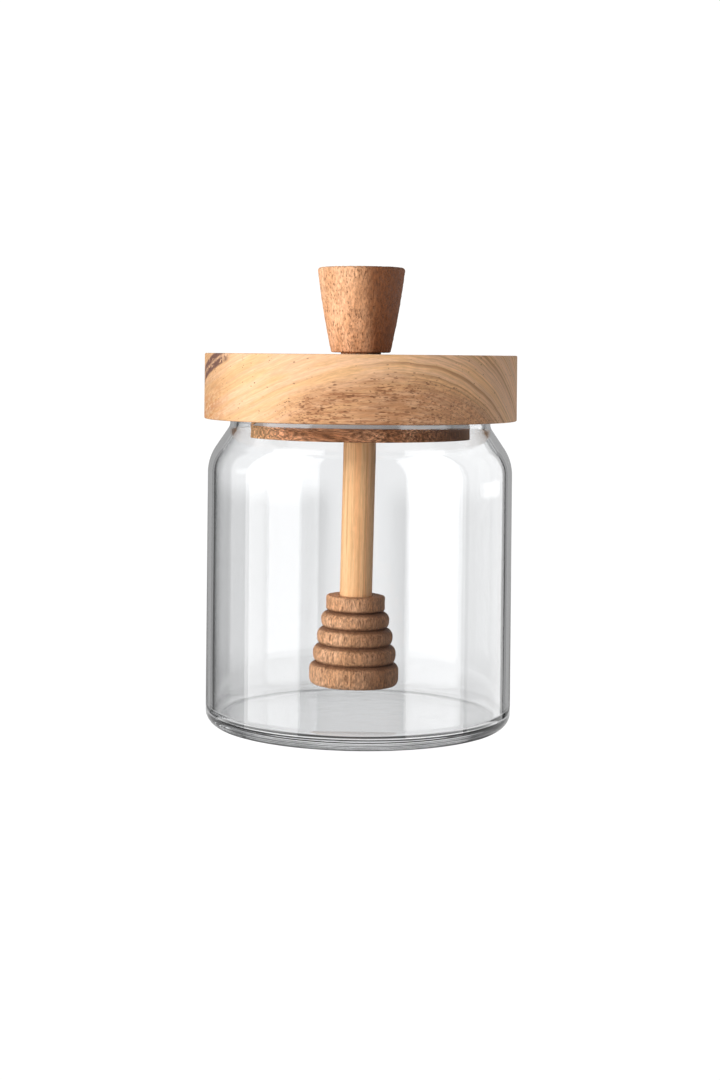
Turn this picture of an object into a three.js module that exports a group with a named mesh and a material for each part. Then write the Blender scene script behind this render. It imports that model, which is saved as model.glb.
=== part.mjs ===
// An empty glass honey jar with a turned wooden lid, a tapered knob and a honey dipper that hangs inside.
// Millimetres, +Z up. The origin is the centre of the jar's underside, on the surface that it stands on.
// The front of the jar faces -Y and its right-hand side is +X.
import * as THREE from "three";

// The jar
const JAR_RADIUS = 47.8;
const JAR_HEIGHT = 95.5;
const WALL = 2.5;
const NECK_RADIUS = 40.9;
const SHOULDER_SLOPE = THREE.MathUtils.degToRad(34);
const SHOULDER_ROUND = 15.0;
const NECK_ROUND = 3.0;
const RIM_ROUND = 0.5;
const BASE_THICKNESS = 3.2;
const BASE_ROUND = 4.4;
const FLOOR_ROUND = 3.2;

// The lid: a thick board with a thinner plug of darker wood below it, and a sealing ring round the plug
const BOARD_RADIUS = 49.1;
const BOARD_THICKNESS = 20.5;
const BOARD_CHAMFER = 0.4;
const PLUG_RADIUS = 34.5;
const PLUG_DEPTH = 6.3;
const RING_TOP_RADIUS = 36.9;
const RING_HEIGHT = 1.8;
const RING_SEAT_RADIUS = 33.0;
const RING_CLEARANCE = 0.2;

// The knob: a cone frustum with a slight bulge, wide end up, on a small foot over the board
const KNOB_TOP_RADIUS = 13.7;
const KNOB_LOW_RADIUS = 9.5;
const KNOB_HEIGHT = 27.4;
const KNOB_BULGE = 0.2;
const KNOB_TOP_ROUND = 1.1;
const KNOB_LOW_ROUND = 0.7;
const KNOB_FOOT_RADIUS = 6.4;
const KNOB_FOOT_HEIGHT = 0.5;

// The dipper: a round stem let into the plug, and a head turned with five rings. It hangs a little askew.
const DIPPER_LEAN = THREE.MathUtils.degToRad(1.0);
const DIPPER_LENGTH = 77.0;
const STEM_RADIUS = 5.1;
const STEM_LET_IN = 4.0;
const STEM_CLEARANCE = 0.3;
const HEAD_SOCKET_DEPTH = 12.0;
// Each ring of the head from the top down: its height, its radius, and how much of the height is rounded
const HEAD_RINGS = [
  { height: 4.9, radius: 9.3, roundness: 0.35 },
  { height: 5.2, radius: 10.8, roundness: 0.9 },
  { height: 5.3, radius: 12.0, roundness: 0.9 },
  { height: 5.6, radius: 13.1, roundness: 0.85 },
  { height: 6.9, radius: 14.1, roundness: 0.55 },
];
// How far the groove below a ring lies inside that ring's own radius
const GROOVE_DEPTH = 1.2;

// Flat sides round each turned piece
const JAR_SIDES = 60;
const LID_SIDES = 60;
const DIPPER_SIDES = 40;

const BOARD_BOTTOM = JAR_HEIGHT;
const BOARD_TOP = BOARD_BOTTOM + BOARD_THICKNESS;
const PLUG_BOTTOM = BOARD_BOTTOM - PLUG_DEPTH;
const RING_BOTTOM = BOARD_BOTTOM - RING_HEIGHT;

const deg = THREE.MathUtils.degToRad;
const point = (radius, z) => new THREE.Vector2(radius, z);

// Points of an arc about (radius, z), from one angle to another in degrees: 0 points outwards, 90 up
function arc(radius, z, size, from, to, steps) {
  return Array.from({ length: steps + 1 }, (_, i) => {
    const angle = deg(from + ((to - from) * i) / steps);
    return point(radius + size * Math.cos(angle), z + size * Math.sin(angle));
  });
}

// A piece turned about the Z axis from its profile of (radius, z) points, which runs up the outside
function turned(name, profile, sides, material) {
  const geometry = new THREE.LatheGeometry(profile, sides);
  geometry.rotateX(Math.PI / 2);
  const mesh = new THREE.Mesh(geometry, material);
  mesh.name = name;
  return mesh;
}

const glass = new THREE.MeshStandardMaterial({
  color: 0xe6eaec, roughness: 0.03, metalness: 0, transparent: true, opacity: 0.35,
});
const paleWood = new THREE.MeshStandardMaterial({ color: 0xd9ad7c, roughness: 0.6, metalness: 0 });
const darkWood = new THREE.MeshStandardMaterial({ color: 0x94633f, roughness: 0.65, metalness: 0 });
const knobWood = new THREE.MeshStandardMaterial({ color: 0xb5805a, roughness: 0.7, metalness: 0 });
const bamboo = new THREE.MeshStandardMaterial({ color: 0xe2b07a, roughness: 0.5, metalness: 0 });
const silicone = new THREE.MeshStandardMaterial({ color: 0x9a9a9c, roughness: 0.55, metalness: 0 });

// One face of the jar's wall above the straight part, from the wall up to the neck. The inner face is
// the outer one moved in by the wall: its outward bends get tighter and its inward bends wider.
function shoulder(inset) {
  const slope = THREE.MathUtils.radToDeg(SHOULDER_SLOPE);
  const cosine = Math.cos(SHOULDER_SLOPE);
  const sine = Math.sin(SHOULDER_SLOPE);
  const coneWidth = JAR_RADIUS - NECK_RADIUS - (SHOULDER_ROUND + NECK_ROUND) * (1 - cosine);
  const coneHeight = coneWidth / Math.tan(SHOULDER_SLOPE);
  const neckStart = JAR_HEIGHT - WALL / 2;
  const low = neckStart - (SHOULDER_ROUND + NECK_ROUND) * sine - coneHeight;
  const round = arc(JAR_RADIUS - SHOULDER_ROUND, low, SHOULDER_ROUND - inset, 0, slope, 7);
  const hollow = arc(NECK_RADIUS + NECK_ROUND, neckStart, NECK_ROUND + inset, 180 + slope, 180, 4);
  return [...round, ...hollow];
}

function jarGlass() {
  const low = JAR_RADIUS - BASE_ROUND;
  const floorEdge = JAR_RADIUS - WALL - FLOOR_ROUND;
  const rim = [
    ...arc(NECK_RADIUS - RIM_ROUND, JAR_HEIGHT - RIM_ROUND, RIM_ROUND, 0, 90, 3),
    ...arc(NECK_RADIUS - WALL + RIM_ROUND, JAR_HEIGHT - RIM_ROUND, RIM_ROUND, 90, 180, 3),
  ];
  const inner = shoulder(WALL).reverse();
  return [
    point(0, 0),
    ...arc(low, BASE_ROUND, BASE_ROUND, -90, 0, 6),
    ...shoulder(0),
    ...rim,
    ...inner,
    ...arc(floorEdge, BASE_THICKNESS + FLOOR_ROUND, FLOOR_ROUND, 0, -90, 5),
    point(0, BASE_THICKNESS),
  ];
}

function lidBoard() {
  return [
    point(0, BOARD_BOTTOM),
    point(BOARD_RADIUS - BOARD_CHAMFER, BOARD_BOTTOM),
    point(BOARD_RADIUS, BOARD_BOTTOM + BOARD_CHAMFER),
    point(BOARD_RADIUS, BOARD_TOP - BOARD_CHAMFER),
    point(BOARD_RADIUS - BOARD_CHAMFER, BOARD_TOP),
    point(0, BOARD_TOP),
  ];
}

// The plug has a stepped seat for the ring at its top and a shallow hole for the stem in its underside
function lidPlug() {
  const hole = STEM_RADIUS + STEM_CLEARANCE;
  return [
    point(0, PLUG_BOTTOM + STEM_LET_IN),
    point(hole, PLUG_BOTTOM + STEM_LET_IN),
    point(hole, PLUG_BOTTOM),
    point(PLUG_RADIUS, PLUG_BOTTOM),
    point(PLUG_RADIUS, RING_BOTTOM),
    point(RING_SEAT_RADIUS, RING_BOTTOM),
    point(RING_SEAT_RADIUS, BOARD_BOTTOM),
    point(0, BOARD_BOTTOM),
  ];
}

// The ring's outer face flares from the plug's radius out to a lip under the board
function sealRing() {
  const inner = RING_SEAT_RADIUS + RING_CLEARANCE;
  return [
    point(inner, RING_BOTTOM),
    point(PLUG_RADIUS, RING_BOTTOM),
    point(RING_TOP_RADIUS, BOARD_BOTTOM - RING_HEIGHT * 0.3),
    point(RING_TOP_RADIUS, BOARD_BOTTOM),
    point(inner, BOARD_BOTTOM),
    point(inner, RING_BOTTOM),
  ];
}

function knobProfile() {
  const low = BOARD_TOP + KNOB_FOOT_HEIGHT;
  const high = BOARD_TOP + KNOB_HEIGHT;
  const top = KNOB_TOP_RADIUS - KNOB_TOP_ROUND;
  const bottom = KNOB_LOW_RADIUS - KNOB_LOW_ROUND;
  const side = [0.25, 0.5, 0.75].map((share) => {
    const bulge = KNOB_BULGE * Math.sin(Math.PI * share);
    const start = low + KNOB_LOW_ROUND;
    return point(
      KNOB_LOW_RADIUS + (KNOB_TOP_RADIUS - KNOB_LOW_RADIUS) * share + bulge,
      start + (high - KNOB_TOP_ROUND - start) * share,
    );
  });
  return [
    point(0, BOARD_TOP),
    point(KNOB_FOOT_RADIUS, BOARD_TOP),
    point(KNOB_FOOT_RADIUS, low),
    ...arc(bottom, low + KNOB_LOW_ROUND, KNOB_LOW_ROUND, -90, 0, 3),
    ...side,
    ...arc(top, high - KNOB_TOP_ROUND, KNOB_TOP_ROUND, 0, 90, 4),
    point(0, high),
  ];
}

// The dipper's own height is 0 at the plug's underside and negative below it
function stemProfile(headTop) {
  const end = headTop - HEAD_SOCKET_DEPTH + STEM_CLEARANCE;
  const top = STEM_LET_IN - STEM_CLEARANCE;
  return [point(0, end), point(STEM_RADIUS, end), point(STEM_RADIUS, top), point(0, top)];
}

// A ring's outline from its lower groove up to its upper one: a flat face between two rounded edges
function ringOutline(ring, bottom, lowGroove, highGroove) {
  const reach = (ring.height * ring.roundness) / 2;
  const steps = 3;
  const edge = (groove, z, from, to) =>
    Array.from({ length: steps + 1 }, (_, i) => {
      const angle = deg(from + ((to - from) * i) / steps);
      return point(groove + (ring.radius - groove) * Math.cos(angle), z + reach * Math.sin(angle));
    });
  return [
    ...edge(lowGroove, bottom + reach, -90, 0),
    ...edge(highGroove, bottom + ring.height - reach, 0, 90),
  ];
}

function headProfile(headTop) {
  const hole = STEM_RADIUS + STEM_CLEARANCE;
  const outline = [];
  let z = -DIPPER_LENGTH;
  for (let i = HEAD_RINGS.length - 1; i >= 0; i -= 1) {
    const ring = HEAD_RINGS[i];
    const above = HEAD_RINGS[i - 1];
    const lowGroove = ring.radius - GROOVE_DEPTH;
    const highGroove = above ? above.radius - GROOVE_DEPTH : ring.radius - GROOVE_DEPTH / 2;
    outline.push(...ringOutline(ring, z, lowGroove, highGroove));
    z += ring.height;
  }
  return [
    point(0, -DIPPER_LENGTH),
    ...outline,
    point(hole, headTop),
    point(hole, headTop - HEAD_SOCKET_DEPTH),
    point(0, headTop - HEAD_SOCKET_DEPTH),
  ];
}

function dipper() {
  const headHeight = HEAD_RINGS.reduce((sum, ring) => sum + ring.height, 0);
  const headTop = headHeight - DIPPER_LENGTH;
  const group = new THREE.Group();
  group.position.z = PLUG_BOTTOM;
  group.rotation.y = DIPPER_LEAN;
  group.add(turned("stem", stemProfile(headTop), DIPPER_SIDES, bamboo));
  group.add(turned("dipper_head", headProfile(headTop), DIPPER_SIDES, knobWood));
  return group;
}

const jar = new THREE.Group();
jar.add(turned("jar_glass", jarGlass(), JAR_SIDES, glass));
jar.add(turned("lid_board", lidBoard(), LID_SIDES, paleWood));
jar.add(turned("lid_plug", lidPlug(), LID_SIDES, darkWood));
jar.add(turned("seal_ring", sealRing(), LID_SIDES, silicone));
jar.add(turned("knob", knobProfile(), DIPPER_SIDES, knobWood));
jar.add(dipper());

export default jar;
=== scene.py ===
"""A clear glass honey jar with a turned wooden lid and a honey dipper hanging inside.

Laid out as an add-on: each operator models one piece, or a group of like pieces, and gives it its material,
and one more builds the stage. All sizes are in metres in the frame's own axes: +Z up, the front towards -Y.
"""

import math

import bpy
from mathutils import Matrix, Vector


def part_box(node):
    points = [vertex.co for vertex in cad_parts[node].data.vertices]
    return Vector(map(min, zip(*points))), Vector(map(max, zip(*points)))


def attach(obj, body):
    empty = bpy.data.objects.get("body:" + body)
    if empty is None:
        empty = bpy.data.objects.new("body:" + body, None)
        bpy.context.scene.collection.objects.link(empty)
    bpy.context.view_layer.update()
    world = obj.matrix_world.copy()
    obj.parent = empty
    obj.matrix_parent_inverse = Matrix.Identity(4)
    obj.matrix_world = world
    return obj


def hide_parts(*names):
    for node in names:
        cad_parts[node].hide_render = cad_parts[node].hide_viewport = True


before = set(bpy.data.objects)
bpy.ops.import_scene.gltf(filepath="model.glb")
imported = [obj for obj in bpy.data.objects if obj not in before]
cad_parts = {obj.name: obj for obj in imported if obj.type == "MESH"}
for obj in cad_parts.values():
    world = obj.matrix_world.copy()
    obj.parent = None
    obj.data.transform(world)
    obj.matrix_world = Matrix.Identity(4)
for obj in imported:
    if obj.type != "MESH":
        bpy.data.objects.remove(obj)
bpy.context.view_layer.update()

bl_info = {
    "name": "Glass honey jar",
    "version": (1, 0, 0),
    "blender": (4, 5, 0),
    "location": "3D View > Sidebar > Honey jar",
    "description": "Models a glass honey jar with a wooden lid and a dipper, and its studio stage",
    "category": "Object",
}

MM = 0.001
BODY = "root"

# Places that come from the frame
JAR_LOW, JAR_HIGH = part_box("jar_glass")
BOARD_LOW, BOARD_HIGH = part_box("lid_board")
PLUG_LOW, PLUG_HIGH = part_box("lid_plug")
RING_LOW, RING_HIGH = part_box("seal_ring")
KNOB_LOW, KNOB_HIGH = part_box("knob")
HEAD_LOW, HEAD_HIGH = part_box("dipper_head")

JAR_RADIUS = JAR_HIGH.x
BOARD_RADIUS = BOARD_HIGH.x
PLUG_RADIUS = PLUG_HIGH.x
RING_RADIUS = RING_HIGH.x
RING_SEAT_RADIUS = 33.0 * MM
MOUTH_HEIGHT = JAR_HIGH.z

# The dipper hangs from the middle of the plug's underside and leans to the left by this angle
DIPPER_LEAN = math.radians(1.0)
DIPPER_LENGTH = 77.0 * MM
STEM_RADIUS = 5.1 * MM
STEM_LET_IN = 3.7 * MM
STEM_IN_HEAD = 11.7 * MM
SOCKET_CLEARANCE = 0.3 * MM
# Each ring of the head from the top down: height, radius, and how much of the height is rounded
HEAD_RINGS = (
    (4.9 * MM, 9.3 * MM, 0.35),
    (5.2 * MM, 10.8 * MM, 0.95),
    (5.3 * MM, 12.0 * MM, 0.95),
    (5.6 * MM, 13.1 * MM, 0.9),
    (6.9 * MM, 14.1 * MM, 0.6),
)
GROOVE_DEPTH = 1.3 * MM

# Sides round a turned piece
FINE_SIDES = 192
STEM_SIDES = 96
RELIEF_SIDES = 288
RELIEF_STEP = 0.32 * MM
# The tone of a relief's pattern that leaves the surface where it is
RELIEF_MIDDLE = 0.8
CREASE_ANGLE = math.radians(35)

# The ripple in the blown glass, and the tint of its thickness
RIPPLE_SCALE = 130.0
RIPPLE_STRETCH = (1.0, 1.0, 0.12)
RIPPLE_DEPTH = 0.02 * MM
THICKNESS_TINT = (0.5, 0.515, 0.53, 1.0)

# The camera, from the photograph's frame of 720 by 1080 pixels
PHOTO_WIDTH = 720
PHOTO_HEIGHT = 1080
FOCAL_PIXELS = 1900.0
PIXEL_SIZE = 0.3154 * MM
EYE_LEVEL_Y = 353.8
AXIS_X = 360.8
CAMERA_YAW = math.radians(1.4)
CAMERA_ROLL = math.radians(-0.54)
SENSOR = 36.0

# The studio: sheets, key light and upright cards
FLOOR_MIDDLE, FLOOR_SIZE = (0, 0.5, -0.2 * MM), (1.2, 1.4)
BACKDROP_MIDDLE, BACKDROP_SIZE = (0, 1.2, 0.4), (1.6, 2.4)
WHITE = 1.05
# From the floor's middle to the viewer, as a share of the floor's length
VIEWER_DISTANCE = 0.786
KEY_AZIMUTH = math.radians(-46)
KEY_HEIGHT = 0.24
KEY_SIZE = 0.8
KEY_AIM = Vector((0, 0, 0.08))
CARD_LOW, CARD_HIGH = -0.9, 1.3
# Where the white surfaces change along and across, as shares of their size from their middle
SIDES_BLEND = (-0.07, 0.07)
NEAR_END = (-0.36, -0.24, 0.74, 1.0)
FAR_END = (0.2, 0.5)
HIGH_START = (-0.15, -0.1)
HIGH_SIDES = (0.09, 0.18, 1.0, 0.0)
TOP_START = (0.0, 0.1)
TOP_END = (0.16, 0.26, 1.0, 0.1)
# Half the width of the bright strip behind the jar, as a share of its distance from the viewer
MIDDLE_STRIP = (0.013, 0.037)
# The floor shows in the glass up to this distance from the jar's axis, and the jar's heel touches it here,
# where a contact shadow is painted
FLOOR_MIRRORED = 60 * MM
HEEL_RADIUS = 44.5 * MM


def clear_selection():
    """Deselects everything in object mode, so that the next operator acts on its own piece alone."""
    if bpy.context.object is not None and bpy.context.object.mode != "OBJECT":
        bpy.ops.object.mode_set(mode="OBJECT")
    bpy.ops.object.select_all(action="DESELECT")


def select_only(piece):
    """Selects one piece and makes it the active one."""
    clear_selection()
    piece.select_set(True)
    bpy.context.view_layer.objects.active = piece


def arc(radius, height, size, start, stop, steps):
    """Points of an arc about (radius, height): angles in degrees, 0 pointing outwards and 90 up."""
    angles = (math.radians(start + (stop - start) * i / steps) for i in range(steps + 1))
    return [(radius + size * math.cos(a), height + size * math.sin(a)) for a in angles]


def rounded_side(radius, low, high, edge, steps):
    """An upright side from low to high, with both its edges rounded by edge."""
    lower = arc(radius - edge, low + edge, edge, -90, 0, steps)
    return lower + arc(radius - edge, high - edge, edge, 0, 90, steps)


def filled_in(profile, step):
    """The same profile with points added along its long edges, so that none is longer than step."""
    points = [profile[0]]
    for (r0, z0), (r1, z1) in zip(profile, profile[1:]):
        cuts = max(1, math.ceil(math.hypot(r1 - r0, z1 - z0) / step))
        points += [(r0 + (r1 - r0) * i / cuts, z0 + (z1 - z0) * i / cuts) for i in range(1, cuts + 1)]
    return points


def turn_piece(name, profile, sides):
    """Models a turned piece: a corner is extruded along the profile of (radius, height) and spun round +Z."""
    clear_selection()
    radius, height = profile[0]
    bpy.ops.mesh.primitive_plane_add(size=MM, location=(0, 0, 0))
    piece = bpy.context.object
    piece.name = name
    bpy.ops.object.mode_set(mode="EDIT")
    bpy.ops.mesh.select_all(action="SELECT")
    bpy.ops.mesh.merge(type="CENTER")
    bpy.ops.transform.translate(value=(radius, 0, height))
    for (r0, z0), (r1, z1) in zip(profile, profile[1:]):
        bpy.ops.mesh.extrude_vertices_move(TRANSFORM_OT_translate={"value": (r1 - r0, 0, z1 - z0)})
    bpy.ops.mesh.select_all(action="SELECT")
    bpy.ops.mesh.spin(steps=sides, angle=math.tau, center=(0, 0, 0), axis=(0, 0, 1))
    bpy.ops.mesh.select_all(action="SELECT")
    bpy.ops.mesh.remove_doubles(threshold=0.01 * MM)
    bpy.ops.mesh.normals_make_consistent(inside=False)
    bpy.ops.object.mode_set(mode="OBJECT")
    bpy.ops.object.shade_smooth_by_angle(angle=CREASE_ANGLE)
    return piece


def carve_relief(piece, name, size, stretch, depth):
    """Presses a procedural relief into a dense piece, stretched along each axis, and applies it."""
    clear_selection()
    grain = bpy.data.textures.new(name, "CLOUDS")
    grain.noise_basis = "VORONOI_F1"
    grain.noise_scale = size
    grain.noise_depth = 1
    bpy.ops.object.empty_add(location=(0, 0, 0))
    ruler = bpy.context.object
    ruler.scale = stretch
    bpy.context.view_layer.update()
    select_only(piece)
    relief = piece.modifiers.new(name, "DISPLACE")
    relief.texture = grain
    relief.texture_coords = "OBJECT"
    relief.texture_coords_object = ruler
    relief.mid_level = RELIEF_MIDDLE
    relief.strength = depth
    bpy.ops.object.modifier_apply(modifier=name)
    bpy.data.objects.remove(ruler)
    bpy.data.textures.remove(grain)


def lean_dipper(piece):
    """Turns a piece about the middle of the plug's underside by the dipper's lean, into its mesh."""
    select_only(piece)
    bpy.ops.object.mode_set(mode="EDIT")
    bpy.ops.mesh.select_all(action="SELECT")
    hanging_point = (0, 0, PLUG_LOW.z)
    bpy.ops.transform.rotate(value=-DIPPER_LEAN, orient_axis="Y", center_override=hanging_point)
    bpy.ops.object.mode_set(mode="OBJECT")


def finish_piece(piece, node, material):
    """Gives a piece its material, hides the CAD node that it stands for, and hangs it on its body."""
    piece.data.materials.clear()
    piece.data.materials.append(material)
    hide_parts(node)
    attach(piece, BODY)


def set_inputs(tree, node, inputs):
    """Sets or links each input of a node that is given by name or number."""
    for key, value in inputs.items():
        if isinstance(value, bpy.types.NodeSocket):
            tree.links.new(value, node.inputs[key])
        else:
            node.inputs[key].default_value = value


def add_node(tree, kind, inputs=None, **settings):
    """Adds a node with its settings and its inputs."""
    node = tree.nodes.new(kind)
    for name, value in settings.items():
        setattr(node, name, value)
    set_inputs(tree, node, inputs or {})
    return node


def math_node(tree, operation, *values):
    """A Math node's output, for values that are numbers or sockets."""
    return add_node(tree, "ShaderNodeMath", dict(enumerate(values)), operation=operation).outputs[0]


def times(tree, first, second):
    """The product of two values."""
    return math_node(tree, "MULTIPLY", first, second)


def vector_node(tree, operation, *values):
    """A Vector Math node, for values that are vectors or sockets."""
    return add_node(tree, "ShaderNodeVectorMath", dict(enumerate(values)), operation=operation)


def smooth_range(tree, value, low, high, to_low=0.0, to_high=1.0):
    """value eased from to_low at low to to_high at high."""
    inputs = {"Value": value, "From Min": low, "From Max": high, "To Min": to_low, "To Max": to_high}
    node = add_node(tree, "ShaderNodeMapRange", inputs, interpolation_type="SMOOTHSTEP")
    return node.outputs["Result"]


def mix_colour(tree, factor, first, second, blend="MIX"):
    """A colour between first and second, or second blended over first."""
    inputs = {0: factor, 6: first, 7: second}
    return add_node(tree, "ShaderNodeMix", inputs, data_type="RGBA", blend_type=blend).outputs[2]


def mix_value(tree, factor, first, second):
    """A number between first and second."""
    return add_node(tree, "ShaderNodeMix", {0: factor, 2: first, 3: second}, data_type="FLOAT").outputs[0]


def mix_shader(tree, factor, first, second):
    """A shader between first and second."""
    return add_node(tree, "ShaderNodeMixShader", {0: factor, 1: first, 2: second}).outputs[0]


def new_group(name, values, outputs):
    """A shader node group that takes a vector and named values, with its input and output sockets."""
    group = bpy.data.node_groups.new(name, "ShaderNodeTree")
    group.interface.new_socket(name="Vector", in_out="INPUT", socket_type="NodeSocketVector")
    for label, value in values.items():
        socket = group.interface.new_socket(name=label, in_out="INPUT", socket_type="NodeSocketFloat")
        socket.default_value = value
    for label in outputs:
        group.interface.new_socket(name=label, in_out="OUTPUT", socket_type="NodeSocketFloat")
    return group, add_node(group, "NodeGroupInput").outputs, add_node(group, "NodeGroupOutput").inputs


def growth_rings_group():
    """Growth rings round the local X axis, warped and unevenly spaced: their lines, tones and distance."""
    values = {"Spacing": 3 * MM, "Warp": 3 * MM, "Warp Size": 20 * MM, "Unevenness": 1.0, "Taper": 0.0}
    group, given, result = new_group("Growth rings", values, ["Line", "Tone", "Distance"])
    flat = vector_node(group, "MULTIPLY", given["Vector"], (0.0, 1.0, 1.0)).outputs[0]
    from_pith = vector_node(group, "LENGTH", flat).outputs["Value"]
    along = part_of(group, given["Vector"], "X")
    from_pith = math_node(group, "MULTIPLY_ADD", along, given["Taper"], from_pith)
    stretched = vector_node(group, "MULTIPLY", given["Vector"], (0.4, 1.0, 1.0)).outputs[0]
    warp_scale = math_node(group, "DIVIDE", 1.0, given["Warp Size"])
    warp = add_node(group, "ShaderNodeTexNoise", {"Vector": stretched, "Scale": warp_scale, "Detail": 2.0})
    offset = math_node(group, "SUBTRACT", warp.outputs["Fac"], 0.5)
    offset = times(group, offset, given["Warp"])
    distance = math_node(group, "MULTIPLY_ADD", offset, 2.0, from_pith)
    count = math_node(group, "DIVIDE", distance, given["Spacing"])
    uneven = add_node(group, "ShaderNodeTexNoise", {"W": count, "Scale": 0.6}, noise_dimensions="1D")
    shift = times(group, uneven.outputs["Fac"], given["Unevenness"])
    count = math_node(group, "MULTIPLY_ADD", shift, 2.5, count)
    within = math_node(group, "FRACT", count)
    rise = smooth_range(group, within, 0.62, 0.93)
    fall = smooth_range(group, within, 0.93, 1.0, 1.0, 0.0)
    line = times(group, rise, fall)
    ring_number = math_node(group, "FLOOR", count)
    strength = add_node(group, "ShaderNodeTexWhiteNoise", {"W": ring_number}, noise_dimensions="1D")
    strength = smooth_range(group, strength.outputs["Value"], 0.0, 0.9, 0.25, 1.0)
    group.links.new(times(group, line, strength), result["Line"])
    group.links.new(times(group, within, strength), result["Tone"])
    group.links.new(distance, result["Distance"])
    return group


def pores_group():
    """Open pores as short dark dashes along the local X axis, in patches."""
    values = {"Length": 3 * MM, "Width": 0.5 * MM, "Share": 0.4, "Patch Size": 12 * MM}
    group, given, result = new_group("Pores", values, ["Mask"])
    along = math_node(group, "DIVIDE", 1.0, given["Length"])
    across = math_node(group, "DIVIDE", 1.0, given["Width"])
    scale = add_node(group, "ShaderNodeCombineXYZ", {"X": along, "Y": across, "Z": across}).outputs[0]
    wander = add_node(group, "ShaderNodeTexNoise", {"Vector": given["Vector"], "Scale": 260.0})
    bent = vector_node(group, "MULTIPLY_ADD", wander.outputs["Color"], (0.0, 0.0008, 0.0008), given["Vector"])
    spot_place = vector_node(group, "MULTIPLY", bent.outputs[0], scale).outputs[0]
    spots = add_node(group, "ShaderNodeTexVoronoi", {"Vector": spot_place, "Scale": 1.0})
    size = add_node(group, "ShaderNodeSeparateColor", {"Color": spots.outputs["Color"]})
    patch_scale = math_node(group, "DIVIDE", 1.0, given["Patch Size"])
    inputs = {"Vector": given["Vector"], "Scale": patch_scale, "Detail": 1.0}
    patch = add_node(group, "ShaderNodeTexNoise", inputs)
    patch = smooth_range(group, patch.outputs["Fac"], 0.35, 0.65, 0.25, 1.6)
    share = times(group, given["Share"], patch)
    kept = math_node(group, "LESS_THAN", size.outputs["Red"], share)
    reach = smooth_range(group, size.outputs["Green"], 0.0, 1.0, 0.22, 0.5)
    inside = math_node(group, "DIVIDE", spots.outputs["Distance"], reach)
    spot = smooth_range(group, inside, 0.55, 1.0, 1.0, 0.0)
    group.links.new(times(group, spot, kept), result["Mask"])
    return group


def fibre_group():
    """Fine fibres along the local X axis: 0 to 1, in the middle of the range on average."""
    group, given, result = new_group("Fibre", {"Length": 20 * MM, "Width": 0.8 * MM}, ["Value"])
    along = math_node(group, "DIVIDE", 1.0, given["Length"])
    across = math_node(group, "DIVIDE", 1.0, given["Width"])
    scale = add_node(group, "ShaderNodeCombineXYZ", {"X": along, "Y": across, "Z": across}).outputs[0]
    place = vector_node(group, "MULTIPLY", given["Vector"], scale).outputs[0]
    inputs = {"Vector": place, "Scale": 1.0, "Detail": 4.0, "Roughness": 0.6}
    fibre = add_node(group, "ShaderNodeTexNoise", inputs)
    group.links.new(fibre.outputs["Fac"], result["Value"])
    return group


GROUP_MAKERS = {"Growth rings": growth_rings_group, "Pores": pores_group, "Fibre": fibre_group}


def use_group(tree, name, inputs):
    """Places a shared effect in a material, with that material's own values, and gives its outputs."""
    group = bpy.data.node_groups.get(name) or GROUP_MAKERS[name]()
    return add_node(tree, "ShaderNodeGroup", inputs, node_tree=group).outputs


def fibres(tree, vector, length, width):
    """Fine fibres along the vector's X axis, with their length and width in millimetres."""
    return use_group(tree, "Fibre", {"Vector": vector, "Length": length * MM, "Width": width * MM})[0]


def pore_mask(tree, vector, length, width, share, patch):
    """Open pores along the vector's X axis, with their length, width and patch size in millimetres."""
    inputs = {"Vector": vector, "Length": length * MM, "Width": width * MM}
    return use_group(tree, "Pores", {**inputs, "Share": share, "Patch Size": patch * MM})[0]


def new_material(name):
    """A material with a Principled shader: its node tree and that shader."""
    material = bpy.data.materials.new(name)
    material.use_nodes = True
    tree = material.node_tree
    return material, tree, tree.nodes["Principled BSDF"]


def object_place(tree, location=(0, 0, 0), rotation=(0, 0, 0)):
    """Object coordinates, centred at location and turned, as one socket."""
    place = add_node(tree, "ShaderNodeTexCoord").outputs["Object"]
    inputs = {"Vector": place, "Location": location, "Rotation": rotation}
    return add_node(tree, "ShaderNodeMapping", inputs, vector_type="TEXTURE").outputs[0]


def bump(tree, height, distance, strength=1.0):
    """A Bump node's normal for a height socket."""
    inputs = {"Height": height, "Distance": distance, "Strength": strength}
    return add_node(tree, "ShaderNodeBump", inputs).outputs[0]


def rgba(colour):
    """A property's colour with full alpha."""
    return (*colour, 1.0)


def finish_wood(tree, shader, colour, roughness, specular, normal):
    """Gives a wood's shader its colour, its roughness, its shine and its fine relief."""
    set_inputs(tree, shader, {
        "Base Color": colour, "Roughness": roughness, "Specular IOR Level": specular, "Normal": normal,
    })


def clear_glass(settings):
    """Clear glass that takes a little light on its way through, and lets lamps reach the dipper."""
    material, tree, shader = new_material("clear glass")
    ripple_place = vector_node(tree, "MULTIPLY", object_place(tree), RIPPLE_STRETCH).outputs[0]
    inputs = {"Vector": ripple_place, "Scale": RIPPLE_SCALE, "Detail": 1.0}
    ripple = add_node(tree, "ShaderNodeTexNoise", inputs).outputs["Fac"]
    set_inputs(tree, shader, {
        "Base Color": rgba(settings.glass_colour), "Roughness": 0.0, "IOR": settings.glass_ior,
        "Transmission Weight": 1.0, "Normal": bump(tree, ripple, RIPPLE_DEPTH),
    })
    passing = add_node(tree, "ShaderNodeBsdfTransparent", {"Color": (0.98, 0.98, 0.98, 1.0)}).outputs[0]
    lamp_ray = add_node(tree, "ShaderNodeLightPath").outputs["Is Shadow Ray"]
    surface = mix_shader(tree, lamp_ray, shader.outputs[0], passing)
    inputs = {"Color": THICKNESS_TINT, "Density": settings.glass_density}
    depth = add_node(tree, "ShaderNodeVolumeAbsorption", inputs).outputs[0]
    set_inputs(tree, tree.nodes["Material Output"], {"Surface": surface, "Volume": depth})
    return material


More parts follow.
